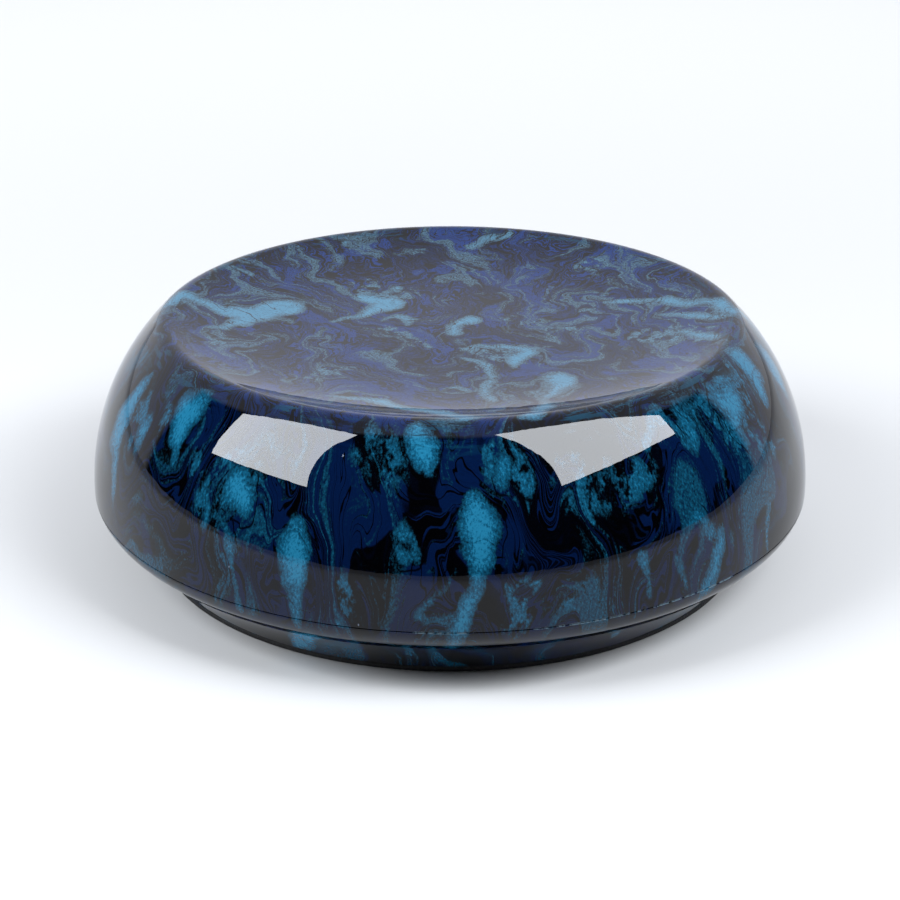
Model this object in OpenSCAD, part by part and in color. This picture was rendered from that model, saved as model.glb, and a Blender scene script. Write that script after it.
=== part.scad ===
// Round desk paperweight with a shallow dish in its top.
// Two moulded shells meet at a parting line on the widest circumference. They are clamped
// by four self-tapping screws driven from below, which a non-slip pad then covers. A cast
// disc inside gives the weight, and a foam ring under the dish keeps it from rattling.
// Lengths are in millimetres. The origin is the centre of the underside, with +Z up.

/* [Body] */
// Diameter across the widest circumference
body_d = 100; // [96:1:108]
// Height of the parting line above the underside
seam_z = 10.2; // [10:0.1:11]
// Wall thickness of both shells
wall = 3; // [2.6:0.1:3.2]
// Width of the gap left at the parting line
seam_gap = 0.12; // [0.08:0.02:0.3]

/* [Shoulder and rim] */
// Radius of the arc that runs from the parting line up to the rim
shoulder_r = 31.5; // [30.5:0.1:32]
// Angle that the shoulder arc turns through
shoulder_sweep = 46; // [44:1:48]
// Radius of the rounded rim
rim_r = 2.3; // [1.8:0.1:2.6]

/* [Dish] */
// Slope of the dish where it meets the rim
dish_slope = 16.5; // [13:0.5:18]
// How late the dish turns up: 2 is a spherical bowl, 4 is a flat plate with a raised edge
dish_power = 3.5; // [3:0.25:4]

/* [Foot] */
// Diameter of the non-slip pad
pad_d = 83; // [80:1:85]
// Thickness of the non-slip pad
pad_t = 0.8; // [0.7:0.1:1.4]
// Thickness of the adhesive film above the pad
film_t = 0.15; // [0.1:0.05:0.3]
// Height of the crease between the side band and the cove
crease_z = 7.6; // [7.2:0.1:8]

/* [Ballast] */
// Diameter of the cast ballast disc
ballast_d = 76; // [72:1:77]
// Thickness of the cast ballast disc
ballast_t = 14; // [10:0.5:15]
// Thickness of the foam ring
foam_t = 3; // [2:0.5:4]

/* [Screws] */
// Number of screws
screw_count = 4; // [3:1:5]
// Distance of each screw from the centre
screw_ring = 28; // [27:0.5:29]
// Outer diameter of the screw thread
screw_d = 2.9; // [2.6:0.1:3]
// Length of the screw under its head
screw_length = 15; // [12:1:17]

/* [Hidden] */

body_r = body_d/2;
pad_r = pad_d/2;

// Outline of the upper shell
shoulder_c = [body_r - shoulder_r, seam_z];
rim_c = shoulder_c + (shoulder_r - rim_r)*[cos(shoulder_sweep), sin(shoulder_sweep)];
dish_edge = rim_c + rim_r*[-sin(dish_slope), cos(dish_slope)];
dish_depth = dish_edge.x*tan(dish_slope)/dish_power;
inner_sweep = shoulder_sweep - 6;
under_edge_r = dish_edge.x - 3;

// Locating joint between the shells: a tongue on the lower one, a rebate in the upper one
lip = 1.7;
tongue_t = 1.3;
tongue_h = 2;
fit_gap = 0.1;
tongue_out = body_r - lip - fit_gap;
tongue_in = tongue_out - tongue_t;

// Lower shell
floor_z = pad_t + film_t;
floor_top = floor_z + wall;
band_tilt_top = 12;
band_tilt_low = 48;
band_top = seam_z - seam_gap;
band_r = (band_top - crease_z)/(sin(band_tilt_low) - sin(band_tilt_top));
crease_r = body_r - band_r*(cos(band_tilt_top) - cos(band_tilt_low));
foot_r = pad_r + 0.2;
cove_turn = 20;

// Screws, bosses and posts
post_r = 5;
post_top = 9;
boss_r = 4.6;
seat_z = 6.5;
head_r = 2.8;
head_h = 2;
bore_extra = 0.05;

// Ballast and what holds it
ballast_top = floor_top + ballast_t;
boss_clearance = 1.2;
fence_in = ballast_d/2 + 0.4;
fence_t = 1.8;
fence_h = 3;
press_in = 16.5;
press_out = 19.5;
foam_side = 2.5;

// Ribs under the dish
rib_count = 8;
rib_t = 1.5;
rib_drop = 5.5;

facets = 96;

// Height of the dish surface at a distance r from the centre
function dish_z(r) = dish_edge.y - dish_depth*(1 - pow(r/dish_edge.x, dish_power));

// Points along an arc about c, from angle a0 to angle a1
function arc(c, r, a0, a1, n) = [
    for (i = [0:n])
        let (a = a0 + (a1 - a0)*i/n) c + r*[cos(a), sin(a)]
];

// Points along an arc from p to q that turns through the given angle, hollow side outwards
function cove(p, q, turn, n) =
    let (
        chord = q - p,
        r = norm(chord)/(2*sin(turn/2)),
        side = [-chord.y, chord.x]/norm(chord),
        c = (p + q)/2 + side*r*cos(turn/2),
        a0 = atan2(p.y - c.y, p.x - c.x)
    )
    arc(c, r, a0, a0 + turn, n);

// Points along the dish, from distance r0 to distance r1, lowered by the given drop
function dish(r0, r1, drop, n) = [
    for (i = [0:n])
        let (r = r0 + (r1 - r0)*i/n) [r, dish_z(r) - drop]
];

// Copies a child to each screw position
module each_screw() {
    for (i = [0:screw_count - 1])
        rotate([0, 0, 360*(i + 0.5)/screw_count])
            translate([screw_ring, 0, 0])
                children();
}

// A vertical ring between two radii and two heights
module ring(r_in, r_out, z0, z1) {
    rotate_extrude($fn = facets)
        translate([r_in, z0])
            square([r_out - r_in, z1 - z0]);
}

// Dish, rim and shoulder as one wall, rebated inside the parting line for the tongue
module upper_wall() {
    inner_r = shoulder_r - wall;
    outside = arc(shoulder_c, shoulder_r, 0, shoulder_sweep, 24);
    rim = arc(rim_c, rim_r, shoulder_sweep, 90 + dish_slope, 12);
    inside = arc(shoulder_c, inner_r, inner_sweep, asin((tongue_h + 1)/inner_r), 12);
    rebate_r = tongue_out + fit_gap;
    rebate_z = seam_z + tongue_h + fit_gap;
    rotate_extrude($fn = facets)
        polygon(concat(
            outside,
            [for (i = [1:len(rim) - 1]) rim[i]],
            [for (p = dish(dish_edge.x, 0, 0, 22)) if (p.x < dish_edge.x) p],
            dish(0, under_edge_r, wall, 12),
            inside,
            [[rebate_r - lip, rebate_z], [rebate_r, rebate_z], [rebate_r, seam_z]]
        ));
}

// Ribs that run out from the pressing ring to the wall
module dish_ribs() {
    for (i = [0:rib_count - 1])
        rotate([0, 0, 360*(i + 0.5)/rib_count + 22.5])
            translate([press_out - 0.5, -rib_t/2, dish_z(0) - rib_drop])
                cube([under_edge_r - press_out, rib_t, rib_drop - 0.2]);
}

module upper_shell() {
    boss_top = dish_z(0) - 0.9;
    color("midnightblue")
        difference() {
            union() {
                upper_wall();
                ring(press_in, press_out, ballast_top + foam_t, dish_z(0) - 1.5);
                dish_ribs();
                each_screw()
                    translate([0, 0, post_top])
                        cylinder(r = boss_r, h = boss_top - post_top, $fn = 48);
            }
            each_screw()
                translate([0, 0, post_top - 1])
                    cylinder(d = screw_d + 2*bore_extra, h = screw_length - 0.5, $fn = 32);
        }
}

// Side band, cove, floor and tongue as one wall
module lower_wall() {
    band_c = [body_r - band_r*cos(band_tilt_top), band_top + band_r*sin(band_tilt_top)];
    band = arc(band_c, band_r, -band_tilt_top, -band_tilt_low, 6);
    hollow = cove([crease_r, crease_z], [foot_r, floor_z], cove_turn, 10);
    rotate_extrude($fn = facets)
        polygon(concat(
            band,
            [for (i = [1:len(hollow) - 1]) hollow[i]],
            [
                [0, floor_z], [0, floor_top], [foot_r - 0.7, floor_top],
                [tongue_in, crease_z + 2], [tongue_in, seam_z + tongue_h - 0.3],
                [tongue_in + 0.3, seam_z + tongue_h], [tongue_out - 0.3, seam_z + tongue_h],
                [tongue_out, seam_z + tongue_h - 0.3], [tongue_out, band_top]
            ]
        ));
}

module lower_shell() {
    color("darkslateblue")
        difference() {
            union() {
                lower_wall();
                ring(fence_in, fence_in + fence_t, floor_top - 0.5, floor_top + fence_h);
                each_screw()
                    translate([0, 0, floor_z + 1])
                        cylinder(r = post_r, h = post_top - floor_z - 1, $fn = 48);
            }
            each_screw()
                translate([0, 0, floor_z - 1])
                    cylinder(r = head_r + 0.4, h = seat_z - floor_z + 1, $fn = 48);
            each_screw()
                cylinder(d = screw_d + 0.5, h = post_top + 1, $fn = 32);
        }
}

module ballast_disc() {
    hole_r = post_r + boss_clearance;
    edge = 1;
    color("dimgray")
        difference() {
            translate([0, 0, floor_top])
                rotate_extrude($fn = facets)
                    polygon([
                        [0, 0], [ballast_d/2 - edge, 0], [ballast_d/2, edge],
                        [ballast_d/2, ballast_t - edge], [ballast_d/2 - edge, ballast_t],
                        [0, ballast_t]
                    ]);
            each_screw()
                translate([0, 0, floor_top - 1])
                    cylinder(r = hole_r, h = ballast_t + 2, $fn = 48);
        }
}

module foam_spacer() {
    color("silver")
        ring(press_in - foam_side, press_out + foam_side, ballast_top, ballast_top + foam_t);
}

// One self-tapping screw, head down, with a cross recess
module screw() {
    shank_r = screw_d/2;
    point = 2;
    difference() {
        translate([0, 0, seat_z])
            rotate_extrude($fn = 48)
                polygon([
                    [0, -head_h], [head_r - 0.5, -head_h], [head_r, -head_h + 0.6], [head_r, 0],
                    [shank_r, 0], [shank_r, screw_length - point], [0.2, screw_length],
                    [0, screw_length]
                ]);
        for (turn = [0, 90])
            rotate([0, 0, turn])
                translate([-1.4, -0.3, seat_z - head_h - 1])
                    cube([2.8, 0.6, 2.1]);
    }
}

module shell_screws() {
    color("lightgray")
        each_screw()
            screw();
}

module pad_adhesive() {
    color("white")
        translate([0, 0, pad_t])
            cylinder(r = pad_r - 0.7, h = film_t, $fn = facets);
}

module non_slip_pad() {
    bevel = 0.25;
    color("black")
        rotate_extrude($fn = facets)
            polygon([
                [0, 0], [pad_r - bevel, 0], [pad_r, bevel], [pad_r, pad_t], [0, pad_t]
            ]);
}

upper_shell();
lower_shell();
ballast_disc();
foam_spacer();
shell_screws();
pad_adhesive();
non_slip_pad();
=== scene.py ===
"""Looks of a round, dish-topped desk paperweight with a glossy marbled finish.

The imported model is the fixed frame. The two shells and the pad are rebuilt here as fine
turned meshes on the same outline; the pieces inside keep their CAD meshes. Outlines are in
millimetres, as (distance from the axis, height), and become metres in the meshes.
"""
import math
import random

import bpy
import numpy as np
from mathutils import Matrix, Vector


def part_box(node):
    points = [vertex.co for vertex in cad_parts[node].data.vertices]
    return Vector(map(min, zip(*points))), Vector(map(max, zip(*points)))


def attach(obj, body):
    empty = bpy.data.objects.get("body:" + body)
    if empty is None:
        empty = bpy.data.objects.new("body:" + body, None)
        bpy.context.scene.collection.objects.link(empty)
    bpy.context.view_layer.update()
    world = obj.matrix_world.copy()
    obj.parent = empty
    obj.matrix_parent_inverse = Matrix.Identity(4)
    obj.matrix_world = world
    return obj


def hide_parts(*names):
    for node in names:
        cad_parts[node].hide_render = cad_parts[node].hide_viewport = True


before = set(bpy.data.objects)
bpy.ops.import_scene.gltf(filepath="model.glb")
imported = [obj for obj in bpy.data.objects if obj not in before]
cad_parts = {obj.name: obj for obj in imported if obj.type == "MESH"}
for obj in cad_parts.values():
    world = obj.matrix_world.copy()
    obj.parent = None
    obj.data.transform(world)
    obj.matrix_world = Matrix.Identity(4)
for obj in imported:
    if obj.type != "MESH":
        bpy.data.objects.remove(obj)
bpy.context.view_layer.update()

MM = 0.001
AROUND = 512

# Outline of the shells, the same as the CAD model's
BODY_R = round(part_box("upper_shell")[1].x / MM, 3)
SEAM_Z = 10.2
SHOULDER_R = 31.5
SHOULDER_SWEEP = 46.0
RIM_R = 2.3
DISH_SLOPE = 16.5
DISH_POWER = 3.5
WALL = 3.0
SEAM_GAP = 0.12
CREASE_Z = 7.6
BAND_TILT = (12.0, 48.0)
PAD_R = 41.5
PAD_T = 0.8
FLOOR_Z = 0.95
COVE_TURN = 20.0
TONGUE_OUT = 48.2
TONGUE_T = 1.3
TONGUE_TOP = 12.2
LIP = 1.7
FIT_GAP = 0.1
UNDER_EDGE = 3.0
FOOT_R = PAD_R + 0.2

# Finish of the meshes: the rounding at the parting line, and the least angle of a sharp edge
SEAM_EDGE = 0.05
SHARP_ANGLE = 35

# Studs under the pad: their spacing and height, and how many rings of vertices carry them
STUD_PITCH = 2.6
STUD_HEIGHT = 0.28
STUD_RINGS = 160

# How fast the flat film grows outwards for each millimetre down the side
FILM_SPREAD = 0.6


def arc(centre, radius, start, end, steps):
    """Points on an arc, from one angle to the other, in degrees."""
    a = np.radians(np.linspace(start, end, steps + 1))
    return np.column_stack([centre[0] + radius * np.cos(a), centre[1] + radius * np.sin(a)])


def line(p, q, steps):
    """Points on a straight line, both ends included."""
    t = np.linspace(0.0, 1.0, steps + 1)[:, None]
    return np.asarray(p, float) * (1 - t) + np.asarray(q, float) * t


def chain(*runs):
    """Joins runs of points and drops a point that repeats the one before it."""
    points = np.concatenate([np.atleast_2d(r) for r in runs])
    step = np.hypot(*np.diff(points, axis=0).T)
    return points[np.concatenate([[True], step > 1e-6])]


def polar(angle):
    """The unit (r, z) direction at an angle above the level, in degrees."""
    a = math.radians(angle)
    return np.array([math.cos(a), math.sin(a)])


SHOULDER_C = np.array([BODY_R - SHOULDER_R, SEAM_Z])
RIM_C = SHOULDER_C + (SHOULDER_R - RIM_R) * polar(SHOULDER_SWEEP)
DISH_EDGE = RIM_C + RIM_R * polar(90 + DISH_SLOPE)
DISH_DEPTH = DISH_EDGE[0] * math.tan(math.radians(DISH_SLOPE)) / DISH_POWER


def dish_z(r):
    """Height of the dish surface at a distance from the axis."""
    return DISH_EDGE[1] - DISH_DEPTH * (1 - (r / DISH_EDGE[0]) ** DISH_POWER)


def dish(r0, r1, drop, steps):
    """Points along the dish from one distance to another, lowered by the drop."""
    r = np.linspace(r0, r1, steps + 1)
    return np.column_stack([r, dish_z(r) - drop])


def cove(p, q, turn, steps):
    """A hollow arc from p down to q that turns through the given angle."""
    p, q = np.asarray(p, float), np.asarray(q, float)
    chord = q - p
    length = np.hypot(*chord)
    half = math.radians(turn / 2)
    radius = length / (2 * math.sin(half))
    side = np.array([-chord[1], chord[0]]) / length
    centre = (p + q) / 2 + side * radius * math.cos(half)
    start = math.degrees(math.atan2(p[1] - centre[1], p[0] - centre[0]))
    return arc(centre, radius, start, start + turn, steps)


BAND_TOP = SEAM_Z - SEAM_GAP
BAND_SIN = [math.sin(math.radians(t)) for t in BAND_TILT]
BAND_COS = [math.cos(math.radians(t)) for t in BAND_TILT]
BAND_R = (BAND_TOP - CREASE_Z) / (BAND_SIN[1] - BAND_SIN[0])
BAND_C = np.array([BODY_R - BAND_R * BAND_COS[0], BAND_TOP + BAND_R * BAND_SIN[0]])
CREASE = BAND_C + BAND_R * polar(-BAND_TILT[1])


def top_outline():
    """The seen side of the upper shell, from the axis out and down to the parting line."""
    return chain(
        dish(0, DISH_EDGE[0], 0, 88),
        arc(RIM_C, RIM_R, 90 + DISH_SLOPE, SHOULDER_SWEEP, 16),
        arc(SHOULDER_C, SHOULDER_R, SHOULDER_SWEEP, 0.4, 60),
        arc((BODY_R - SEAM_EDGE, SEAM_Z + SEAM_EDGE), SEAM_EDGE, 0, -90, 4),
    )


def side_outline():
    """The seen side of the lower shell, from the parting line down to the pad."""
    band = arc(BAND_C, BAND_R, -BAND_TILT[0] - 1.5, -BAND_TILT[1], 14)
    return chain(
        (band[0][0] - SEAM_EDGE, BAND_TOP),
        (band[0][0] - SEAM_EDGE * 0.3, BAND_TOP - SEAM_EDGE * 0.35),
        band,
        cove(CREASE, (FOOT_R, FLOOR_Z), COVE_TURN, 26),
    )


def run_lengths(points):
    """Length along the points, from the first one to each."""
    return np.concatenate([[0], np.cumsum(np.hypot(*np.diff(points, axis=0).T))])


def run_to(outline, place):
    """Length along the outline to its point nearest the given place."""
    return run_lengths(outline)[np.argmin(np.hypot(*(outline - place).T))]


RIM_END = SHOULDER_C + SHOULDER_R * polar(SHOULDER_SWEEP)
RIM_RUN = run_to(top_outline(), RIM_END)
RIM_OUT = RIM_END[0]
SEAM_RUN = run_lengths(top_outline())[-1]
CREASE_RUN = SEAM_RUN + run_to(side_outline(), CREASE)


def film_radius(run):
    """Distance from the middle of the flat film for a point this far down the outline."""
    return np.where(run < RIM_RUN, run * RIM_OUT / RIM_RUN, RIM_OUT + FILM_SPREAD * (run - RIM_RUN))


# ---------------------------------------------------------------- turned meshes


def lathe(name, loop, shift=None):
    """Turns a closed run of (r, z) points about Z into a solid of revolution.

    shift(r, z, angle) may return changed r and z for a surface that isn't quite round.
    """
    angle = np.arange(AROUND) * (2 * math.pi / AROUND)
    on_axis = loop[:, 0] < 1e-6
    verts, first = [], []
    total = 0
    for (r, z), pole in zip(loop, on_axis):
        first.append(total)
        if pole:
            verts.append(np.array([[0.0, 0.0, z]]))
            total += 1
            continue
        rr, zz = np.full(AROUND, r), np.full(AROUND, z)
        if shift:
            rr, zz = shift(rr, zz, angle)
        verts.append(np.column_stack([rr * np.cos(angle), rr * np.sin(angle), zz]))
        total += AROUND
    faces = []
    here = np.arange(AROUND)
    after = (here + 1) % AROUND
    for i in range(len(loop)):
        j = (i + 1) % len(loop)
        a, b = first[i], first[j]
        if on_axis[i] and on_axis[j]:
            continue
        if on_axis[i]:
            faces += np.column_stack([np.full(AROUND, a), b + here, b + after]).tolist()
        elif on_axis[j]:
            faces += np.column_stack([a + here, np.full(AROUND, b), a + after]).tolist()
        else:
            faces += np.column_stack([a + here, b + here, b + after, a + after]).tolist()
    mesh = bpy.data.meshes.new(name)
    mesh.from_pydata((np.concatenate(verts) * MM).tolist(), [], faces)
    mesh.validate()
    return finish_mesh(name, mesh)


def finish_mesh(name, mesh):
    """Smooths a mesh except at its sharp edges and adds it to the scene as a piece."""
    mesh.shade_smooth()
    mesh.set_sharp_from_angle(angle=math.radians(SHARP_ANGLE))
    mesh.update()
    piece = bpy.data.objects.new(name, mesh)
    bpy.context.scene.collection.objects.link(piece)
    return piece


def vertex_places(piece):
    """The places of a piece's vertices, in millimetres."""
    places = np.empty(len(piece.data.vertices) * 3)
    piece.data.vertices.foreach_get("co", places)
    return places.reshape(-1, 3) / MM


def store(piece, name, values):
    """Writes one number or one vector for each vertex as a named attribute."""
    values = np.asarray(values, np.float32)
    kind, field = ("FLOAT", "value") if values.ndim == 1 else ("FLOAT_VECTOR", "vector")
    layer = piece.data.attributes.new(name, kind, "POINT")
    layer.data.foreach_set(field, values.ravel())


# ---------------------------------------------------------------- marbling laid out in listed shapes
# The film is flat before it wraps the body. A place on the dish is (x, y) in millimetres. A
# place on the side is (azimuth, run): degrees from the front towards +X, and millimetres
# along the outline from the middle of the dish. The third number of each is a half width.

DISH_TEAL = [
    [(-39, 3, 1.5), (-37, 7, 1.9), (-34, 6.5, 1.7), (-31, 4, 2.1), (-27, 5, 3.0), (-23.5, 8.5, 3.4)],
    [(-27, 4, 2.5), (-31, -1, 1.2), (-33, -2.5, 0.7)],
    [(-36, 5, 0.8), (-34.5, 2.5, 0.7)],
    [(-12.5, 14.5, 1.9), (-9, 12, 2.6), (-11, 9.5, 2.1), (-13, 6.5, 1.0), (-16, 4.5, 0.7)],
    [(-7, 18.5, 1.0), (-9, 16.5, 0.6)],
    [(-9, 5.5, 0.6), (-7, 7.2, 1.2), (-5.5, 5.5, 1.2), (-5.5, 3.5, 0.7)],
    [(0.5, -0.5, 0.9), (1.3, 3, 1.4), (3.2, 6, 1.7)],
    [(22, 11, 0.7), (26, 10.5, 1.3), (30, 9, 1.4), (33, 6.5, 1.6), (37, 4.5, 1.6), (39.5, 0.5, 2)],
    [(29, 5, 0.7), (33, 2, 1.2), (38, -1, 1.5)],
    [(32, -4, 1.1), (33.5, -7, 1.7), (35, -9, 1.3)],
    [(18, 8, 0.5), (19.5, 8.8, 0.8), (21, 7.3, 0.5)],
    [(22, 13.5, 0.4), (23, 15.8, 0.6), (25, 15.5, 0.4)],
    [(1, -6, 0.6), (4, -4.5, 1.0), (8, -5, 1.4), (10, -7, 1.7), (9, -9.5, 2.1), (9, -12, 1.2)],
    [(2.2, -9, 0.5), (4, -10.5, 0.8), (5.5, -13, 1.0), (5.3, -17, 0.9), (4, -22, 0.8), (4.5, -25, 1.2),
     (6, -27, 0.9)],
    [(13.8, -18.5, 2.9), (14, -21, 1.9), (12.5, -27, 0.9), (11.5, -32, 1.5), (9.5, -37, 1.6)],
    [(-1, -21.5, 0.5), (0.5, -20.5, 0.8), (2, -22, 0.6)],
    [(-15, -26.5, 0.7), (-12, -27, 1.2), (-8, -28, 1.5), (-5, -32, 1.5), (-1, -34, 1.8), (2, -38, 2)],
    [(3.5, 32.5, 0.9), (5.5, 34.5, 1.2), (9, 36, 1.1)],
    [(-31, 20, 0.5), (-28.5, 18.5, 0.9)],
    [(-16, 31.5, 0.5), (-15.5, 33.5, 0.8)],
    [(-15, -23, 0.5), (-13.5, -21.5, 0.6)],
]
DISH_SPECKLED = [
    [(27, -3, 3.2), (33, -5, 3.4)],
    [(-31, 19, 1.8)],
    [(4, -7, 2.6), (9, -8, 3)],
    [(-12, 18, 2.6), (-7, 16, 1.6)],
    [(-8, 1, 1.8), (-5, -5, 1.4)],
    [(29, -19, 1.7)],
    [(9, 6, 1.6), (18, 1, 1.3)],
    [(-31, -8, 2.0)],
    [(-15, -14, 1.6), (-19, -20, 1.2)],
    [(20, 24, 2.2), (24, 18, 1.5)],
]
DISH_NAVY = [
    [(-17, -5, 0.8), (-12, -7.5, 1.9), (-8, -12, 1.5)],
    [(-33, -13, 1.8), (-28, -15, 2.1), (-26, -19, 1.1)],
    [(2, 24, 0.8), (6, 22.5, 1.7), (9, 19.5, 1.9), (9.5, 16, 0.8)],
    [(9, -16, 0.8), (13, -13, 1.9), (17, -9.5, 1.5)],
    [(26, -16, 2.6), (31, -13, 2.8), (28, -24, 2.6)],
    [(-6, -18, 1.0), (-5, -24, 1.1)],
    [(24, 6, 0.9), (20, 0, 1.0)],
    [(5.5, 10, 0.9), (7, 4, 0.9)],
    [(12, 13, 0.9), (14, 8, 0.5)],
    [(-24, 15, 0.8), (-21, 24, 0.9), (-24, 27, 0.7)],
    [(-30, 14, 1.1), (-33, 12, 0.8)],
    [(22, 25, 1.8), (27, 21, 1.4)],
    [(31, 15, 1.4), (33, 10, 1.0)],
    [(-10, 33, 1.0), (-17, 28, 0.9)],
    [(0, 27, 1.2), (-5, 24, 0.8)],
    [(-6, -38, 2.0), (-20, -33, 1.5)],
]
SIDE_TEAL = [
    [(4, 50.5, 1.7), (4, 53, 2.7), (3.5, 55.5, 2.3), (3, 58, 1.1), (3.5, 61, 0.9), (2.5, 63, 1.4),
     (1.5, 66, 1.6), (1, 69, 1.5)],
    [(-23, 55.5, 1.3), (-23, 58, 2.4), (-23, 60, 2.4), (-22.5, 63, 1.2), (-22, 67, 0.9)],
    [(-49, 43, 1.9), (-51, 45, 2.2), (-50, 48, 1.7), (-49, 50, 1.0), (-49, 52, 0.7)],
    [(-34, 51, 2.0), (-31.8, 53, 1.7)],
    [(-40, 52, 0.6), (-38.5, 54, 0.8), (-38.5, 56, 0.5)],
    [(-36.5, 54.8, 0.5), (-34.5, 56.5, 0.7), (-33, 60, 0.6), (-33, 64, 0.6), (-32, 67, 0.6)],
    [(-5, 41, 1.5), (-3.6, 44, 1.9), (-3.2, 46, 1.0)],
    [(10, 45, 1.0), (9, 47.5, 1.1)],
    [(7, 43.8, 0.7), (8, 45, 0.6)],
    [(54, 44, 1.7), (57, 45, 2.0), (55, 48, 1.6), (56, 51, 0.8)],
    [(69, 43.8, 3.0), (68, 46, 2.0)],
    [(62, 42, 0.8), (55, 41.3, 0.7)],
    [(-68, 48, 1.9), (-69, 52, 2.8), (-66, 55, 1.4), (-64, 59, 1.1), (-63, 62, 0.7)],
    [(-60, 49, 1.4), (-59, 51, 0.9)],
    [(36, 57.5, 0.6), (39, 56, 1.0), (41.5, 58, 0.8)],
    [(43.5, 60, 1.1), (42, 63, 1.3), (40, 67, 1.0), (39, 69, 0.8)],
    [(29, 60, 0.8), (30, 62, 0.5), (30, 64, 0.4)],
    [(35.5, 61, 0.8), (36.5, 65, 0.5)],
    [(57, 60, 0.9), (56, 65, 0.8)],
    [(0.5, 58.5, 0.4), (-2, 61, 0.5), (-4, 64, 0.6), (-2.5, 65.5, 0.7), (0, 64, 0.4)],
    [(33, 45, 0.7), (36, 43, 0.8)],
    [(43, 43, 1.0), (45, 46, 1.0), (43, 49, 0.7)],
    [(-8, 54, 0.9), (-6, 54.6, 0.7), (-5.4, 56, 0.7), (-7.2, 57.2, 0.7), (-8.4, 56, 0.6)],
    [(-35, 64.5, 0.8), (-36, 67, 0.8)],
    [(-20, 69.5, 1.5), (-24, 74, 2.2), (-27, 78, 1.6)],
    [(-6, 70, 0.7), (-7, 75, 0.8)],
    [(25, 71, 0.7), (28, 74, 0.6)],
]
SIDE_SPECKLED = [
    [(-38, 49.5, 1.2), (-35, 50.5, 2.6), (-32, 52, 2.4)],
    [(-13, 43, 1.6), (-10, 44.5, 2.2), (-9, 47, 1.4)],
    [(8, 45, 1.8), (10, 47, 2.0), (12, 49, 1.2)],
    [(40, 44, 1.8), (48, 45, 2.4), (57, 46, 3.2), (62, 43, 2.0)],
    [(50, 50, 1.6), (57, 51, 2.0), (62, 50, 1.6)],
    [(20, 50, 1.6), (26, 51, 2.0), (31, 48.5, 1.8)],
    [(-44, 50, 1.2), (-40, 54, 1.4)],
    [(-56, 44, 1.2), (-53, 50, 1.2)],
    [(-15, 62, 0.9), (-15.5, 65, 0.7)],
    [(10, 60, 1.2), (10, 65, 1.0)],
    [(47, 60, 1.2), (53, 58, 1.0)],
    [(-63, 51, 2.4)],
    [(16, 63, 0.9), (22, 64, 0.9)],
]
SIDE_NAVY = [
    [(-27.5, 51, 1.6), (-27.5, 54, 2.0), (-28.5, 58, 1.6)],
    [(-19, 45, 2.0), (-17, 49, 2.4), (-14, 52, 2.6), (-16, 56, 1.6)],
    [(-9, 50, 2.0), (-11, 54, 1.4)],
    [(3, 43, 1.7), (2, 45.5, 2.2), (0, 49, 1.3)],
    [(35, 55, 1.6), (38, 51, 2.4), (45, 50, 2.0), (51, 53, 2.6), (54, 56, 1.4)],
    [(17, 57, 1.2), (20, 60, 1.0), (19, 64, 1.9)],
    [(-5, 60, 2.2), (-6.5, 66, 2.0), (-9, 68, 1.4)],
    [(-53, 62, 1.8), (-51, 65.5, 2.3)],
    [(60, 57, 2.6), (62, 60, 1.4)],
    [(51, 63, 2.6), (49, 66.5, 2.0)],
    [(-46, 43, 1.4), (-45, 47, 1.6)],
    [(37, 43, 1.4), (40, 47, 1.4)],
    [(13, 67, 1.4), (12, 69, 1.0)],
    [(-40, 70, 2.2), (-45, 74, 1.6)],
    [(8, 54, 0.9), (7.5, 58, 0.8)],
]
DISH_BLACK = [
    [(-14, 24, 2.2), (-8, 27, 2.6), (-3, 29, 2.0)],
    [(-3, 18, 2.0), (2, 17, 2.2), (6, 18, 1.2)],
    [(10, 30, 3.0), (15, 31, 2.0)],
    [(-2, 9, 1.6), (1, 10, 1.8)],
    [(-24, -6, 1.8), (-21, -11, 2.2), (-20, -16, 1.6)],
    [(-36, -16, 1.6), (-32, -20, 1.8)],
    [(-27, 0, 1.6), (-20, 1, 1.4)],
    [(20, -24, 2.6), (24, -22, 1.6)],
    [(-2, -14, 1.6), (-2, -19, 1.2)],
    [(14, 5, 1.4), (16, 9, 1.2)],
    [(17, 21, 1.6), (28, 11, 1.2)],
]
SIDE_BLACK = [
    [(11, 50, 1.8), (14, 53, 3.0), (18, 55, 2.2), (12, 58, 1.8)],
    [(22, 53, 1.4), (26, 56, 1.2)],
    [(-6.5, 52.5, 0.9)],
    [(-20, 58, 1.6), (-18, 62, 1.4)],
    [(0.5, 57, 0.9), (-1, 61, 1.1), (-3, 63, 0.8)],
    [(62, 50.5, 1.6), (67, 48.5, 1.2)],
    [(-58, 46, 1.4), (-57, 50, 1.6)],
    [(33, 58, 1.4), (34, 62, 1.2)],
    [(30, 46, 1.2), (24, 47, 1.4), (20, 46, 1.2)],
    [(9, 62, 1.2), (8, 66, 1.2)],
    [(-30, 60, 1.4), (-27, 64, 1.2)],
    [(20, 73, 2.2), (34, 74, 2.4)],
]
# Where the parting line has painted glints, pale spots standing for highlights on its edges: middle
# azimuth and half width, in degrees
SEAM_GLINTS = [(-1, 4), (29, 17), (160, 14), (-112, 10)]
HIDDEN_STROKES = 44
HIDDEN_AZIMUTH = (78, 290)
HIDDEN_RUN = (42, 64)
HIDDEN_SEED = 11

# How the liquid was stirred: (wavelength, reach) of each shear, in millimetres
SHAPE_WAVES = [(15, 0.5), (9, 0.35), (5, 0.22), (3.2, 0.14), (2.1, 0.07)]
SHAPE_SEED = 3
LIQUID_WAVES = [
    (7, 0.55), (11, 1.3), (18, 2.6), (31, 5.2), (14, 1.6), (52, 9), (24, 4.6), (13, 2.3),
    (38, 7), (9, 1.5), (27, 3.5), (61, 10), (21, 4), (15, 2.6), (44, 7),
]
LIQUID_SEED = 7


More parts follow.
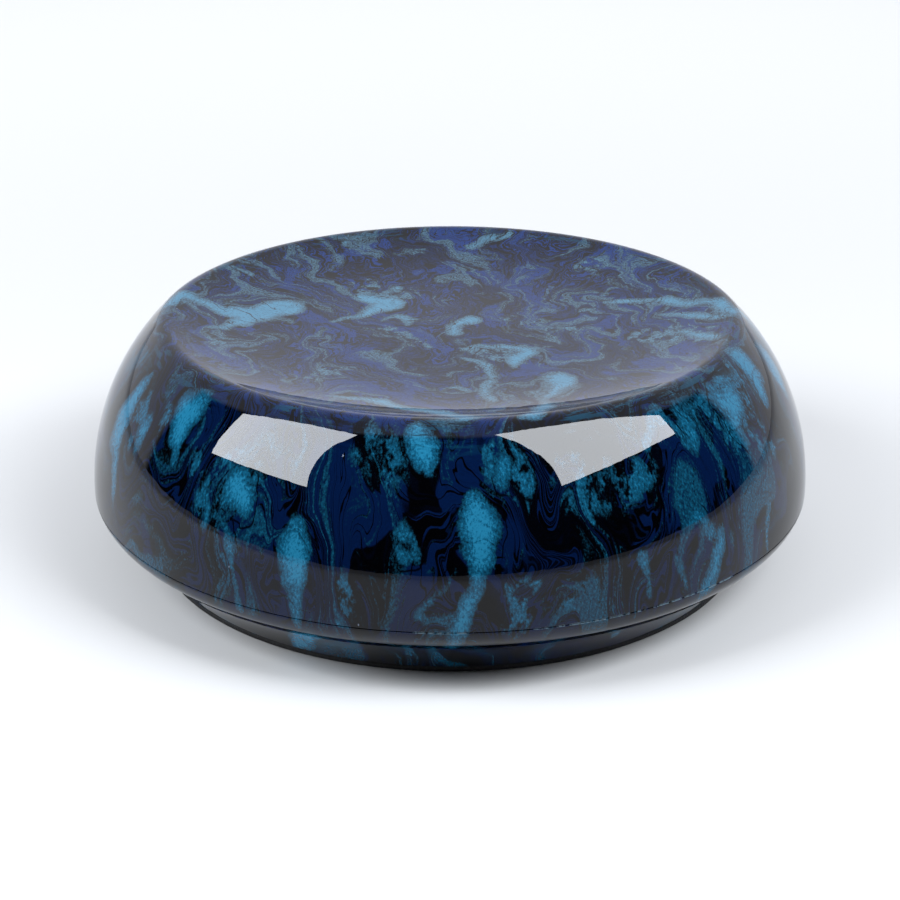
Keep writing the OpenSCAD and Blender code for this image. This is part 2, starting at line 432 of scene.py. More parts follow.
def on_film(azimuth, run):
    """Where a place on the side lies on the flat film."""
    radius = float(film_radius(np.float64(run)))
    a = math.radians(azimuth)
    return radius * math.sin(a), -radius * math.cos(a)


def side_stroke(points):
    """A stroke given in (azimuth, run, half width), on the flat film."""
    return [(*on_film(azimuth, run), width) for azimuth, run, width in points]


def hidden_strokes(seed):
    """Strokes for the back, which nobody has placed: short drips at scattered azimuths."""
    draw = random.Random(seed)
    strokes = []
    for _ in range(HIDDEN_STROKES):
        azimuth = draw.uniform(*HIDDEN_AZIMUTH)
        run = draw.uniform(*HIDDEN_RUN)
        width = draw.uniform(0.7, 2.6)
        points = []
        for _ in range(draw.randint(2, 5)):
            points.append((azimuth, run, width))
            azimuth += draw.uniform(-3, 3)
            run += draw.uniform(1.5, 3.5)
            width *= draw.uniform(0.6, 1.05)
        strokes.append(side_stroke(points))
    return strokes


def stirring(waves, seed):
    """One shear for each (wavelength, reach): a direction across, a phase, and the two lengths."""
    draw = random.Random(seed)
    shears = []
    for wavelength, reach in waves:
        turn, phase = draw.uniform(0, 2 * math.pi), draw.uniform(0, 2 * math.pi)
        shears.append((math.cos(turn), math.sin(turn), phase, 2 * math.pi / wavelength, reach))
    return shears


def stirred(points, shears):
    """Flat points after the shears. A shear slides them along its lines and keeps every area."""
    points = points.copy()
    for c, s, phase, k, reach in shears:
        slide = reach * np.sin((points[:, 0] * c + points[:, 1] * s) * k + phase)
        points[:, 0] -= s * slide
        points[:, 1] += c * slide
    return points


def make_room(points, strokes):
    """Where each flat point lay before the strokes pushed the liquid around them aside."""
    points = points.copy()
    for stroke in strokes:
        path = stroke if len(stroke) > 1 else stroke * 2
        for (x0, y0, w0), (x1, y1, w1) in zip(path, path[1:]):
            middle = np.array([x0 + x1, y0 + y1]) / 2
            away = points - middle
            filled = ((w0 + w1) / 2) ** 2 / np.maximum((away ** 2).sum(axis=1), 1e-9)
            points = middle + away * np.sqrt(np.clip(1 - filled, 0.15, 1))[:, None]
    return points


def distance_to(points, strokes):
    """Distance from each flat point to the nearest stroke's edge, negative inside it."""
    best = np.full(len(points), 1e3)
    for stroke in strokes:
        path = stroke if len(stroke) > 1 else stroke * 2
        for (x0, y0, w0), (x1, y1, w1) in zip(path, path[1:]):
            start, step = np.array([x0, y0]), np.array([x1 - x0, y1 - y0])
            length2 = max(float(step @ step), 1e-9)
            t = np.clip((points - start) @ step / length2, 0, 1)
            near = np.hypot(*(points - start - t[:, None] * step).T)
            best = np.minimum(best, near - (w0 + (w1 - w0) * t))
    return best


def lay_film(piece, outline, run_start):
    """Stores the film place and the distances to the placed shapes at each vertex.

    A vertex farther than touch from the seen outline is hidden, and is stored as bare plastic.
    """
    touch = 0.3
    places = vertex_places(piece)
    r = np.hypot(places[:, 0], places[:, 1])
    order = run_lengths(outline) + run_start
    gap = (r[:, None] - outline[None, :, 0]) ** 2 + (places[:, 2][:, None] - outline[None, :, 1]) ** 2
    nearest = np.argmin(gap, axis=1)
    seen = np.sqrt(gap[np.arange(len(r)), nearest]) < touch
    run = order[nearest]
    radius = film_radius(run)
    unit = places[:, :2] / np.maximum(r, 1e-9)[:, None]
    film = unit * radius[:, None]
    bent = stirred(film, stirring(SHAPE_WAVES, SHAPE_SEED))
    room = make_room(bent, TEAL)
    store(piece, "film", np.column_stack([film, np.zeros(len(r))]))
    store(piece, "room", np.column_stack([room, np.zeros(len(r))]))
    store(piece, "teal", distance_to(bent, TEAL))
    store(piece, "speckled", distance_to(bent, SPECKLED))
    store(piece, "navy", distance_to(bent, NAVY))
    store(piece, "blank", distance_to(bent, BLANK))
    azimuth = np.degrees(np.arctan2(unit[:, 0], -unit[:, 1]))
    # Distance outside the azimuths of the painted glints on the parting line
    glint = np.min([np.abs(azimuth - middle) - half for middle, half in SEAM_GLINTS], axis=0)
    store(piece, "seam", np.abs(run - SEAM_RUN) + 0.3 * np.clip(glint, 0, 1))
    store(piece, "bare", np.where(seen, 0.0, 1.0))


HIDDEN = hidden_strokes(HIDDEN_SEED)
TEAL = DISH_TEAL + [side_stroke(s) for s in SIDE_TEAL] + HIDDEN[0::3]
SPECKLED = DISH_SPECKLED + [side_stroke(s) for s in SIDE_SPECKLED] + HIDDEN[1::3]
NAVY = DISH_NAVY + [side_stroke(s) for s in SIDE_NAVY] + HIDDEN[2::3]
BLANK = DISH_BLACK + [side_stroke(s) for s in SIDE_BLACK]


# ---------------------------------------------------------------- shader trees


def srgb(r, g, b):
    """A colour given as 0 to 255 on the screen, as the linear colour that a shader takes."""
    def linear(v):
        v /= 255
        return v / 12.92 if v <= 0.04045 else ((v + 0.055) / 1.055) ** 2.4
    return (linear(r), linear(g), linear(b), 1.0)


class Nodes:
    """Short names for building the nodes of a material or of the world."""

    def __init__(self, tree):
        self.nodes = tree.nodes
        self.links = tree.links
        self.nodes.clear()

    def add(self, kind, **settings):
        """Adds a node and sets its properties."""
        node = self.nodes.new(kind)
        for key, value in settings.items():
            setattr(node, key, value)
        return node

    def put(self, socket, value):
        """Links an output to a socket, or sets the socket to a plain value."""
        if hasattr(value, "is_output"):
            self.links.new(value, socket)
        elif value is not None:
            socket.default_value = value

    def math(self, operation, a, b=None, c=None):
        """A Math node on up to three numbers."""
        node = self.add("ShaderNodeMath", operation=operation)
        for socket, value in zip(node.inputs, (a, b, c)):
            self.put(socket, value)
        return node.outputs[0]

    def vector(self, operation, a, b=None, scale=None):
        """A Vector Math node. Lengths and dot products come back as a number."""
        node = self.add("ShaderNodeVectorMath", operation=operation)
        self.put(node.inputs[0], a)
        self.put(node.inputs[1], b)
        if scale is not None:
            self.put(node.inputs["Scale"], scale)
        return node.outputs["Value" if operation in ("LENGTH", "DOT_PRODUCT") else "Vector"]

    def mix(self, fac, a, b):
        """Colour a where fac is 0, colour b where it is 1."""
        node = self.add("ShaderNodeMix", data_type="RGBA")
        self.put(node.inputs["Factor"], fac)
        self.put(node.inputs[6], a)
        self.put(node.inputs[7], b)
        return node.outputs[2]

    def step(self, value, low, high, to_low=0.0, to_high=1.0):
        """A smooth step: to_low below low, to_high above high."""
        node = self.add("ShaderNodeMapRange", interpolation_type="SMOOTHSTEP")
        self.put(node.inputs["Value"], value)
        ends = {"From Min": low, "From Max": high, "To Min": to_low, "To Max": to_high}
        for key, number in ends.items():
            node.inputs[key].default_value = number
        return node.outputs["Result"]

    def band(self, value, middle, inner, outer, low=0.0, high=1.0):
        """High where the value is near the middle, low beyond it."""
        away = self.math("ABSOLUTE", self.math("SUBTRACT", value, middle))
        return self.step(away, inner, outer, high, low)

    def noise(self, place, scale, detail=2.0, roughness=0.5, colour=False):
        """Soft noise, around 0.5. As a colour it is three of them."""
        node = self.add("ShaderNodeTexNoise")
        self.put(node.inputs["Vector"], place)
        node.inputs["Scale"].default_value = scale
        node.inputs["Detail"].default_value = detail
        node.inputs["Roughness"].default_value = roughness
        return node.outputs["Color" if colour else "Fac"]

    def cells(self, place, scale):
        """Distance to the nearest of scattered points."""
        node = self.add("ShaderNodeTexVoronoi")
        self.put(node.inputs["Vector"], place)
        node.inputs["Scale"].default_value = scale
        return node.outputs["Distance"]

    def attribute(self, name, output="Fac"):
        """A value that lay_film() stored at the vertices."""
        return self.add("ShaderNodeAttribute", attribute_name=name).outputs[output]

    def ramp(self, fac, stops):
        """A colour ramp through (place, colour) stops."""
        node = self.add("ShaderNodeValToRGB")
        marks = node.color_ramp.elements
        while len(marks) < len(stops):
            marks.new(1.0)
        for mark, (place, colour) in zip(marks, stops):
            mark.position = place
            mark.color = colour
        self.put(node.inputs[0], fac)
        return node.outputs[0]

    def bump(self, height, strength, distance, normal=None):
        """A normal tilted by a height, on top of another normal if there is one."""
        node = self.add("ShaderNodeBump")
        self.put(node.inputs["Height"], height)
        node.inputs["Strength"].default_value = strength
        node.inputs["Distance"].default_value = distance
        self.put(node.inputs["Normal"], normal)
        return node.outputs[0]

    def shifted(self, place, x, y):
        """The same place moved aside, so that two noises there differ."""
        return self.vector("ADD", place, (x, y, 0))

    def millimetres(self):
        """The place on the piece, in millimetres of its own frame."""
        place = self.add("ShaderNodeTexCoord").outputs["Object"]
        return self.vector("SCALE", place, scale=1 / MM)


class Tree(Nodes):
    """A new material with one Principled shader."""

    def __init__(self, name):
        self.material = bpy.data.materials.new(name)
        self.material.use_nodes = True
        super().__init__(self.material.node_tree)
        self.surface = self.add("ShaderNodeBsdfPrincipled")
        self.out = self.add("ShaderNodeOutputMaterial")
        self.put(self.out.inputs["Surface"], self.surface.outputs[0])

    def shade(self, values):
        """Links or sets the shader's named inputs."""
        for name, value in values.items():
            self.put(self.surface.inputs[name], value)


BLACK = srgb(1, 1, 2)
NAVY_DEEP = srgb(1, 8, 27)
NAVY_BLUE = srgb(2, 14, 42)
TEAL_DARK = srgb(5, 32, 44)
TEAL_DIM = srgb(7, 46, 64)
TEAL_BLUE = srgb(11, 64, 88)
TEAL_PALE = srgb(24, 91, 119)
# Painted reflection haze, laid over the teal on the dish
DISH_HAZE_GREY = srgb(112, 132, 142)
# Painted glint colour on the parting line
GLINT_GREY = srgb(96, 116, 128)
DUST_GREY = srgb(110, 120, 135)
BARE_PLASTIC = srgb(20, 21, 26)

# Painted light: how much stronger the ground is on the dish than on the side, standing in for light on
# the upturned dish, and how much stronger all colours are under the crease, offsetting the shade on
# the downturned cove
DISH_PAINTED_LIGHT = 3.5
COVE_PAINTED_LIGHT = 2.4


class Marbling:
    """The pattern of the marbled film, as outputs of one material's nodes.

    film is a spot's place on the flat film, and out its distance from the middle. dish is 1 on
    the dish and 0 on the side. place is where the spot lay before the liquid was stirred. level
    is noise read there, and stripe repeats from 0 to 1 as the level rises.
    """

    def __init__(self, t):
        self.t = t
        self.film = t.attribute("film", "Vector")
        self.out = t.vector("LENGTH", self.film)
        self.dish = t.step(self.out, RIM_OUT - 3, RIM_OUT + 1.5, 1.0, 0.0)
        self.place = self.liquid()
        self.level = t.noise(self.place, 0.10)
        self.stripe = t.math("FRACT", t.math("MULTIPLY", self.level, 11.0))

    def by_part(self, side, dish):
        """A number with one value on the side and another on the dish."""
        return self.t.math("MULTIPLY_ADD", self.dish, dish - side, side)

    def fold(self, place, scale, detail, roughness, reach):
        """A place bent by noise."""
        t = self.t
        bend = t.noise(place, scale, detail, roughness, colour=True)
        bend = t.vector("SUBTRACT", bend, (0.5, 0.5, 0.5))
        return t.vector("ADD", place, t.vector("SCALE", bend, scale=reach))

    def liquid(self):
        """The stored room place, sheared by the LIQUID_WAVES and bent by noise before and after."""
        t = self.t
        place = self.fold(t.attribute("room", "Vector"), 0.45, 2.0, 0.5, self.by_part(0.5, 2.4))
        for c, s, phase, k, reach in stirring(LIQUID_WAVES, LIQUID_SEED):
            along = t.vector("DOT_PRODUCT", place, (c * k, s * k, 0))
            slide = t.math("SINE", t.math("ADD", along, phase))
            shift = t.vector("SCALE", (-s * reach, c * reach, 0), scale=slide)
            place = t.vector("ADD", place, shift)
        return self.fold(place, 0.30, 1.0, 0.4, 3.0)

    def wander(self, distance, value, reach):
        """A distance to a placed shape, pushed in and out by a noise value."""
        return self.t.math("MULTIPLY_ADD", self.t.math("SUBTRACT", value, 0.5), reach, distance)

    def open_ground(self, strength):
        """Low where the liquid was left plain black, 1 elsewhere."""
        edge = self.wander(self.t.attribute("blank"), self.level, 8.0)
        return self.t.step(edge, -0.5, 0.7, 1.0 - strength, 1.0)

    def ground(self):
        """Black and navy drawn into stripes, with still pools of each."""
        t = self.t
        pool = t.noise(t.shifted(self.place, 91, 33), 0.045, 2.0, 0.55)
        stripes = t.ramp(self.stripe, [
            (0.0, BLACK), (0.24, BLACK), (0.27, NAVY_BLUE), (0.44, NAVY_BLUE), (0.46, BLACK),
            (0.52, BLACK), (0.54, NAVY_DEEP), (0.60, NAVY_DEEP), (0.62, BLACK), (0.74, BLACK),
            (0.77, NAVY_BLUE), (0.88, NAVY_BLUE), (0.90, BLACK), (1.0, BLACK),
        ])
        calm = t.math("MULTIPLY", t.step(pool, 0.465, 0.48, 0.94, 0.0), self.by_part(1.0, 0.5))
        ground = t.mix(calm, stripes, BLACK)
        lake = t.step(self.wander(t.attribute("navy"), self.level, 7.0), -0.12, 0.12, 1.0, 0.0)
        navy = t.math("MAXIMUM", lake, t.step(pool, 0.570, 0.585))
        lines = t.math("FRACT", t.math("MULTIPLY", self.level, 16.0))
        sheet = t.mix(t.band(lines, 0.5, 0.035, 0.07), NAVY_BLUE, BLACK)
        ground = t.mix(t.math("MULTIPLY", navy, self.open_ground(0.9)), ground, sheet)
        # Painted light: the ground is made brighter on the dish, standing in for light on its upturned
        # face.
        return t.vector("SCALE", ground, scale=self.by_part(1.0, DISH_PAINTED_LIGHT))

    def mist(self, cloud):
        """Thin teal: drifts, strands, and nothing where the ground was left plain."""
        t = self.t
        drift = t.step(cloud, 0.465, 0.62, 0.0, 0.60)
        strand = t.band(self.stripe, 0.5, 0.03, 0.10, 0.0, 0.42)
        strand = t.math("MULTIPLY", strand, t.step(cloud, 0.40, 0.50))
        return t.math("MULTIPLY", t.math("MAXIMUM", drift, strand), self.open_ground(0.8))

    def patches(self):
        """Teal in the speckled shapes, with holes."""
        t = self.t
        edge = self.wander(t.attribute("speckled"), self.level, 10.0)
        holes = t.step(t.noise(self.film, 0.42, 3.0, 0.65), 0.42, 0.56, 0.30, 1.10)
        return t.math("MULTIPLY", t.step(edge, -1.2, 1.2, 0.66, 0.0), holes)

    def drops(self, cloud):
        """Thick teal in the placed shapes, thinner towards their edges."""
        t = self.t
        edge = self.wander(t.attribute("teal"), cloud, 1.2)
        edge = self.wander(edge, t.noise(self.film, 0.30), 1.8)
        inside = t.step(edge, -0.40, 0.30, 1.0, 0.0)
        return t.math("MULTIPLY", inside, t.step(edge, -1.9, 0.1, 1.0, 0.60))

    def thickness(self, grain):
        """How thick the teal lies: about 1 in the placed shapes, less around them."""
        t = self.t
        cloud = t.noise(t.shifted(self.place, 7, 71), 0.09, 3.0, 0.6)
        cloud = t.math("MULTIPLY_ADD", self.dish, 0.004, cloud)
        thick = t.math("MAXIMUM", self.mist(cloud), self.patches())
        thick = t.math("MAXIMUM", thick, self.drops(cloud))
        streak = t.math("MULTIPLY", t.band(self.stripe, 0.5, 0.0, 0.05), t.step(thick, 0.4, 0.7))
        streak = t.math("MULTIPLY", streak, self.by_part(0.20, 0.50))
        thick = t.math("SUBTRACT", thick, streak)
        return t.math("MULTIPLY_ADD", t.math("SUBTRACT", grain, 0.5), 1.15, thick)

    def teal(self, thick):
        """The teal's colour for its thickness, with painted reflection haze of grey over it on the
        dish.
        """
        t = self.t
        stops = [(0.30, TEAL_DARK), (0.62, TEAL_DIM), (0.80, TEAL_BLUE), (1.0, TEAL_PALE)]
        painted_haze = t.math("MULTIPLY", self.dish, t.step(thick, 0.4, 0.95, 0.13, 0.21))
        return t.mix(painted_haze, t.ramp(thick, stops), DISH_HAZE_GREY)

    def wisps(self, colour, thick):
        """Thin black lines through the colours, strongest on the dish and faint in thick teal."""
        t = self.t
        rings = t.noise(t.shifted(self.place, 23, 57), 0.28, 3.0, 0.6)
        lines = t.band(t.math("FRACT", t.math("MULTIPLY", rings, 13.0)), 0.5, 0.06, 0.16)
        lines = t.math("MULTIPLY", lines, t.step(thick, 0.65, 0.95, 1.0, 0.25))
        return t.mix(t.math("MULTIPLY", lines, self.by_part(0.15, 0.70)), colour, BLACK)

    def rim_streaks(self, colour):
        """Fine dark and teal streaks drawn out along the rim."""
        t = self.t
        around = t.vector("SCALE", t.vector("NORMALIZE", self.film), scale=7.0)
        across = t.vector("SCALE", (0, 0, 1.5), scale=self.out)
        streak = t.noise(t.vector("ADD", around, across), 1.0, 3.0, 0.6)
        here = t.step(t.noise(self.film, 0.08), 0.42, 0.58)
        here = t.math("MULTIPLY", t.band(self.out, RIM_OUT - 1.5, 1.0, 4.5), here)
        pale = t.math("MULTIPLY", here, t.step(streak, 0.54, 0.62, 0.0, 0.8))
        dark = t.math("MULTIPLY", here, t.step(streak, 0.40, 0.47, 0.9, 0.0))
        return t.mix(dark, t.mix(pale, colour, TEAL_DIM), BLACK)

    def outlines(self, colour):
        """Black edges around some of the placed teal shapes."""
        t = self.t
        edge = t.band(self.wander(t.attribute("teal"), self.level, 2.0), 0.30, 0.03, 0.12)
        some = t.step(t.noise(self.film, 0.16, 1.0), 0.49, 0.56, 0.0, 0.9)
        return t.mix(t.math("MULTIPLY", edge, some), colour, BLACK)

    def colours(self, grain):
        """The whole pattern."""
        thick = self.thickness(grain)
        colour = self.t.mix(self.t.step(thick, 0.22, 0.68), self.ground(), self.teal(thick))
        return self.outlines(self.rim_streaks(self.wisps(colour, thick)))


def seam_glints(t, film, colour):
    """Painted glints: pale spots along the parting line, standing for highlights on its edges."""
    glint = t.step(t.attribute("seam"), 0.03, 0.15, 0.75, 0.0)
    glint = t.math("MULTIPLY", glint, t.step(t.noise(film, 0.9, 3.0, 0.7), 0.44, 0.56))
    return t.mix(glint, colour, GLINT_GREY)


def marbled_shell():
    """Marbled film on dark plastic, with dust specks under a clear gloss coat, and painted light, haze
    and glints in its colours.
    """
    t = Tree("marbled_shell")
    marbling = Marbling(t)
    film = marbling.film
    grain = t.noise(film, 3.2, 2.0, 0.75)
    speck = t.step(t.cells(film, 0.16), 0.010, 0.018, 1.0, 0.0)
    # Painted glints along the parting line
    colour = seam_glints(t, film, marbling.colours(grain))
    colour = t.mix(t.math("MULTIPLY", speck, 0.7), colour, DUST_GREY)
    colour = t.mix(t.attribute("bare"), colour, BARE_PLASTIC)
    # Painted light: all colours under the crease are made brighter, offsetting the shade on the
    # downturned cove.
    crease = float(film_radius(CREASE_RUN))
    strength = t.step(marbling.out, crease, crease + 1.5, 1.0, COVE_PAINTED_LIGHT)
    ripple = t.bump(t.noise(t.millimetres(), 0.35, 2.0, 0.45), 0.5, 0.00002)
    t.shade({
        "Base Color": t.vector("SCALE", colour, scale=strength),
        "Roughness": t.step(grain, 0.3, 0.7, 0.42, 0.55),
        "Specular IOR Level": 0.0,
        "Coat Weight": 1.0,
        "Coat Roughness": 0.015,
        "Coat IOR": 1.34,
        "Coat Normal": t.bump(speck, 0.6, 0.00004, ripple),
    })
    return t.material


def pad_rubber():
    """Black rubber with a fine pebbled grain and a little grey bloom on its high points."""
    t = Tree("pad_rubber")
    place = t.millimetres()
    cells = t.cells(place, 2.2)
    wear = t.noise(place, 0.12, 4.0, 0.6)
    tint = t.mix(t.step(wear, 0.4, 0.7), srgb(14, 14, 15), srgb(30, 30, 31))
    pebbles = t.bump(t.step(cells, 0.0, 0.5, 1.0, 0.0), 0.7, 0.00012)
    t.shade({
        "Base Color": t.mix(t.step(cells, 0.0, 0.28, 0.6, 0.0), tint, srgb(52, 52, 54)),
        "Roughness": t.step(wear, 0.3, 0.7, 0.62, 0.82),
        "Normal": t.bump(t.noise(place, 6.0, 3.0, 0.6), 0.3, 0.00003, pebbles),
    })
    return t.material


def ballast_iron():
    """Cast iron with a sandy skin and faint rust."""
    t = Tree("ballast_iron")
    place = t.millimetres()
    sand = t.noise(place, 1.4, 5.0, 0.7)
    rust = t.step(t.noise(place, 0.07, 4.0, 0.6), 0.55, 0.72)
    tint = t.mix(t.step(sand, 0.3, 0.7), srgb(58, 58, 60), srgb(92, 91, 90))
    t.shade({
        "Base Color": t.mix(t.math("MULTIPLY", rust, 0.5), tint, srgb(104, 66, 44)),
        "Metallic": 0.75,
        "Roughness": t.step(sand, 0.3, 0.7, 0.5, 0.75),
        "Normal": t.bump(sand, 0.6, 0.0002),
    })
    return t.material


def grey_foam():
    """Closed-cell foam: pale grey with small pores."""
    t = Tree("grey_foam")
    pores = t.cells(t.millimetres(), 1.6)
    t.shade({
        "Base Color": t.mix(t.step(pores, 0.05, 0.4), srgb(120, 122, 126), srgb(176, 178, 181)),
        "Roughness": t.step(pores, 0.0, 0.5, 0.95, 0.8),
        "Normal": t.bump(pores, 0.6, 0.0003),
    })
    return t.material


def zinc_steel():
    """Bright zinc on small screws, slightly clouded."""
    t = Tree("zinc_steel")
    place = t.millimetres()
    cloud = t.noise(place, 0.8, 4.0, 0.6)
    t.shade({
        "Base Color": t.mix(t.step(cloud, 0.35, 0.65), srgb(168, 172, 178), srgb(206, 209, 212)),
        "Metallic": 1.0,
        "Roughness": t.step(cloud, 0.3, 0.7, 0.22, 0.38),
        "Normal": t.bump(t.noise(place, 5.0, 3.0, 0.6), 0.2, 0.00003),
    })
    return t.material


def adhesive_film():
    """Milky double-sided film with trapped air."""
    t = Tree("adhesive_film")
    cloud = t.noise(t.millimetres(), 0.5, 3.0, 0.6)
    t.shade({
        "Base Color": t.mix(t.step(cloud, 0.35, 0.65), srgb(214, 208, 192), srgb(234, 230, 218)),
        "Roughness": t.step(cloud, 0.3, 0.7, 0.3, 0.45),
        "Normal": t.bump(cloud, 0.3, 0.00003),
    })
    return t.material


# ---------------------------------------------------------------- pieces


def upper_shell():
    """Dish, rim and shoulder, with the wall's inner face and the rebate for the tongue."""
    inner_r = SHOULDER_R - WALL
    rebate = (TONGUE_OUT + FIT_GAP, TONGUE_TOP + FIT_GAP)
    seen = top_outline()
    hidden = chain(
        (rebate[0], SEAM_Z),
        rebate,
        (rebate[0] - LIP, rebate[1]),
        arc(SHOULDER_C, inner_r, 6, SHOULDER_SWEEP - 6, 8),
        dish(DISH_EDGE[0] - UNDER_EDGE, 0, WALL, 8),
    )
    piece = lathe("upper_shell_skin", chain(seen, hidden))
    lay_film(piece, seen, 0.0)
    return piece


def lower_shell():
    """Side band, cove, floor and tongue."""
    seen = side_outline()
    tongue_in = TONGUE_OUT - TONGUE_T
    floor_top = FLOOR_Z + WALL
    hidden = chain(
        line((FOOT_R, FLOOR_Z), (0, FLOOR_Z), 6),
        line((0, floor_top), (PAD_R - 0.5, floor_top), 6),
        line((PAD_R - 0.5, floor_top), (tongue_in, CREASE_Z + 2), 3),
        line((tongue_in, CREASE_Z + 2), (tongue_in, TONGUE_TOP - 0.3), 2),
        (tongue_in + 0.3, TONGUE_TOP),
        (TONGUE_OUT - 0.3, TONGUE_TOP),
        (TONGUE_OUT, TONGUE_TOP - 0.3),
        (TONGUE_OUT, BAND_TOP),
    )
    piece = lathe("lower_shell_skin", chain(seen, hidden))
    lay_film(piece, seen, SEAM_RUN)
    return piece


def non_slip_pad():
    """Pad with a bevelled edge and rows of low round studs moulded on its underside."""
    rings = np.linspace(PAD_R - 0.6, 0, STUD_RINGS)
    loop = chain(
        (0, PAD_T),
        (PAD_R - 0.1, PAD_T),
        (PAD_R, PAD_T - 0.12),
        (PAD_R, 0.25),
        (PAD_R - 0.08, 0.1),
        (PAD_R - 0.25, 0.0),
        np.column_stack([rings, np.zeros(len(rings))]),
    )
    row_gap = STUD_PITCH * 0.866

    def studs(r, z, angle):
        """Raises the underside between the studs."""
        if z[0] > 0.01 or r[0] > PAD_R - 0.5:
            return r, z
        x, y = r * np.cos(angle), r * np.sin(angle)
        row = np.round(y / row_gap)
        dy = y - row * row_gap
        half = STUD_PITCH / 2
        dx = (x - row * half + half) % STUD_PITCH - half
        away = np.hypot(dx, dy) / STUD_PITCH
        return r, z + STUD_HEIGHT * np.clip((away - 0.3) / 0.12, 0, 1)

    return lathe("grip_pad", loop, shift=studs)


def dress_shells():
    """Puts the marbled skins in place of the two shells."""
    film = marbled_shell()
    for make, node in ((upper_shell, "upper_shell"), (lower_shell, "lower_shell")):
        piece = make()
        piece.data.materials.append(film)
        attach(piece, "root")
        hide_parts(node)


def dress_pad():
    """Puts the studded pad in place of the plain one."""
    piece = non_slip_pad()
    piece.data.materials.append(pad_rubber())
    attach(piece, "root")
    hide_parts("non_slip_pad")


def dress_inside():
    """Better materials for the CAD pieces that stay."""
    for node, material in (
        ("ballast_disc", ballast_iron()),
        ("foam_spacer", grey_foam()),
        ("shell_screws", zinc_steel()),
        ("pad_adhesive", adhesive_film()),
    ):
        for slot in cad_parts[node].material_slots:
            slot.material = material


# ---------------------------------------------------------------- studio

CAMERA_LENS = 85.15
CAMERA_ELEVATION = 22.46
CAMERA_DISTANCE = 0.300
CAMERA_PIVOT = (0, 0, 0.018)
CAMERA_AIM = (0, 0, 0.01264)
TENT_LIGHT = 0.90
TENT_DARK = 0.004
TENT_COLOUR = (0.95, 0.97, 1.05, 1)
GAP_SIDE = 0.35
GAP_TOP = 1.30
GAP_SLOPE = 1.9
GAP_EDGE = 0.03
BOX_LIGHT = 21.5
BOX_COLOUR = (0.94, 0.98, 1.03, 1)
BOX_DISTANCE = 0.55
FLOOR_RINGS = (0.040, 0.2, 3.0)
FLOOR_SHADES = (0.45, 0.95)
# Corners as (azimuth, elevation) in degrees, seen from the object: two outer ones, then the
# lower and the upper inner one. The edge between those last two bows into the box.
LEFT_BOX = [(-90, 39), (-85, 22), (-48, 29), (-45, 56)]
RIGHT_BOX = [(90, 38), (87, 30), (38, 33), (24, 61)]
BOX_BOW = 0.10


def direction(azimuth, elevation):
    """A unit vector. Azimuth 0 is the front, and 90 is +X."""
    a, e = math.radians(azimuth), math.radians(elevation)
    return Vector((math.sin(a) * math.cos(e), -math.cos(a) * math.cos(e), math.sin(e)))


def camera():
    """The camera, at the front and raised."""
    data = bpy.data.cameras.new("camera")
    data.lens = CAMERA_LENS
    data.clip_start, data.clip_end = 0.01, 20.0
    item = bpy.data.objects.new("camera", data)
    bpy.context.scene.collection.objects.link(item)
    item.location = Vector(CAMERA_PIVOT) + direction(0, CAMERA_ELEVATION) * CAMERA_DISTANCE
    item.rotation_euler = (Vector(CAMERA_AIM) - item.location).to_track_quat("-Z", "Y").to_euler()
    bpy.context.scene.camera = item


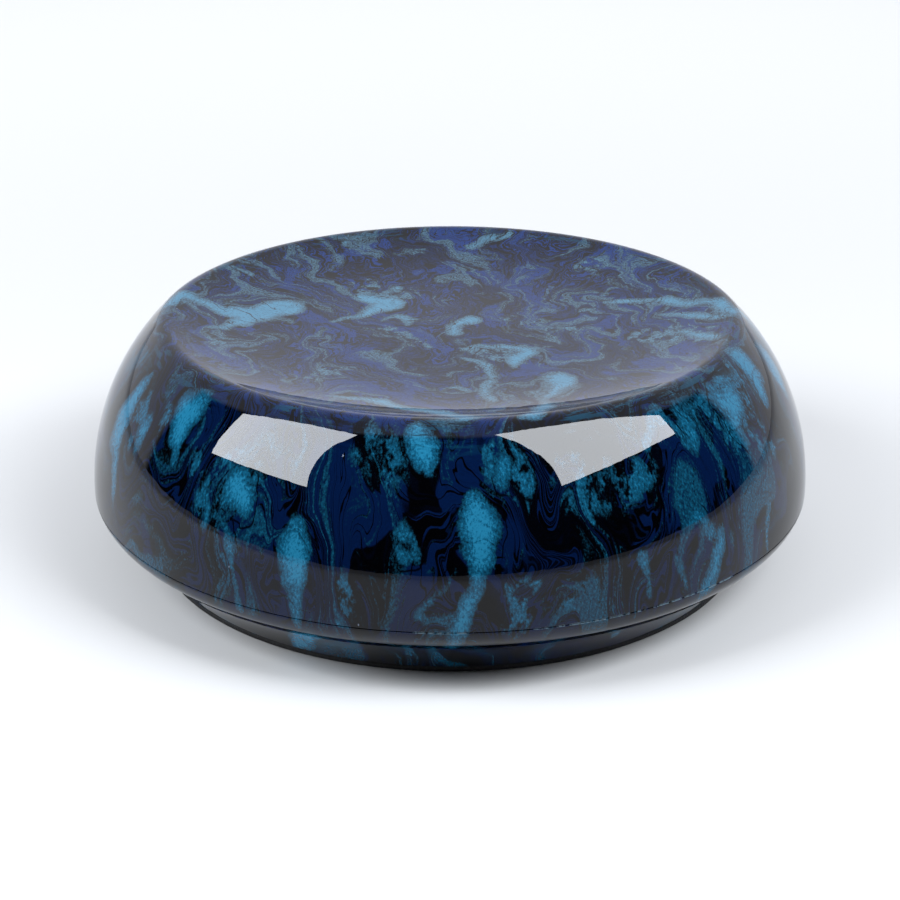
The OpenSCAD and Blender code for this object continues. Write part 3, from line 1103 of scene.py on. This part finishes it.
def floor():
    """A wide pale table top, palest far off and behind, where less of the boxes' light reaches.

    It isn't seen from below, and it is open where the pad covers it.
    """
    around = 96
    verts = []
    for radius in FLOOR_RINGS:
        for i in range(around):
            turn = 2 * math.pi * i / around
            verts.append((radius * math.cos(turn), radius * math.sin(turn), 0))
    faces = []
    for ring in (0, around):
        for i in range(around):
            j = (i + 1) % around
            faces.append((ring + i, ring + around + i, ring + around + j, ring + j))
    mesh = bpy.data.meshes.new("table_top")
    mesh.from_pydata(verts, [], faces)
    item = bpy.data.objects.new("table_top", mesh)
    bpy.context.scene.collection.objects.link(item)
    t = Tree("table_top")
    back = t.vector("DOT_PRODUCT", t.millimetres(), (0, 1, 0))
    away = t.vector("LENGTH", t.millimetres())
    behind = t.step(back, 40, 520, *FLOOR_SHADES)
    far_off = t.step(away, 450, 900, *FLOOR_SHADES)
    pale = t.math("MAXIMUM", behind, far_off)
    t.shade({"Base Color": pale, "Roughness": 0.9, "Specular IOR Level": 0.1})
    either = t.add("ShaderNodeMixShader")
    t.put(either.inputs[0], t.add("ShaderNodeNewGeometry").outputs["Backfacing"])
    t.put(either.inputs[1], t.surface.outputs[0])
    t.put(either.inputs[2], t.add("ShaderNodeBsdfTransparent").outputs[0])
    t.put(t.out.inputs["Surface"], either.outputs[0])
    mesh.materials.append(t.material)


def soft_box(name, corners):
    """A glowing panel whose corners lie in the given directions from the object."""
    steps = 8
    mesh = bpy.data.meshes.new(name)
    centre = Vector(CAMERA_PIVOT)
    places = [centre + direction(*c) * BOX_DISTANCE for c in corners]
    lower, upper = places[2:]
    inwards = (sum(places, Vector()) / len(places) - (lower + upper) / 2).normalized()
    reach = BOX_BOW * (upper - lower).length
    for i in range(1, steps):
        t = i / steps
        places.insert(-1, lower.lerp(upper, t) + inwards * reach * 4 * t * (1 - t))
    mesh.from_pydata([tuple(p) for p in places], [], [tuple(range(len(places)))])
    item = bpy.data.objects.new(name, mesh)
    bpy.context.scene.collection.objects.link(item)
    t = Tree(name)
    t.shade({
        "Base Color": (0, 0, 0, 1),
        "Emission Color": BOX_COLOUR,
        "Emission Strength": BOX_LIGHT,
    })
    mesh.materials.append(t.material)


def tent():
    """White light from above and behind, and a dark gap in front of the object.

    A direction lies in the gap if its Y is below GAP_SIDE and below GAP_TOP - GAP_SLOPE * Z.
    """
    world = bpy.data.worlds.new("tent")
    world.use_nodes = True
    bpy.context.scene.world = world
    t = Nodes(world.node_tree)
    axes = t.add("ShaderNodeSeparateXYZ")
    t.put(axes.inputs[0], t.add("ShaderNodeTexCoord").outputs["Generated"])
    above = t.math("MULTIPLY_ADD", axes.outputs["Z"], GAP_SLOPE, -GAP_TOP)
    beyond = t.math("ADD", axes.outputs["Y"], t.math("MAXIMUM", above, -GAP_SIDE))
    glow = t.add("ShaderNodeBackground")
    t.put(glow.inputs["Color"], TENT_COLOUR)
    t.put(glow.inputs["Strength"], t.step(beyond, -GAP_EDGE, GAP_EDGE, TENT_DARK, TENT_LIGHT))
    t.put(t.add("ShaderNodeOutputWorld").inputs["Surface"], glow.outputs[0])


camera()
floor()
soft_box("left_soft_box", LEFT_BOX)
soft_box("right_soft_box", RIGHT_BOX)
tent()
bpy.context.scene.view_settings.view_transform = "Standard"
dress_shells()
dress_pad()
dress_inside()
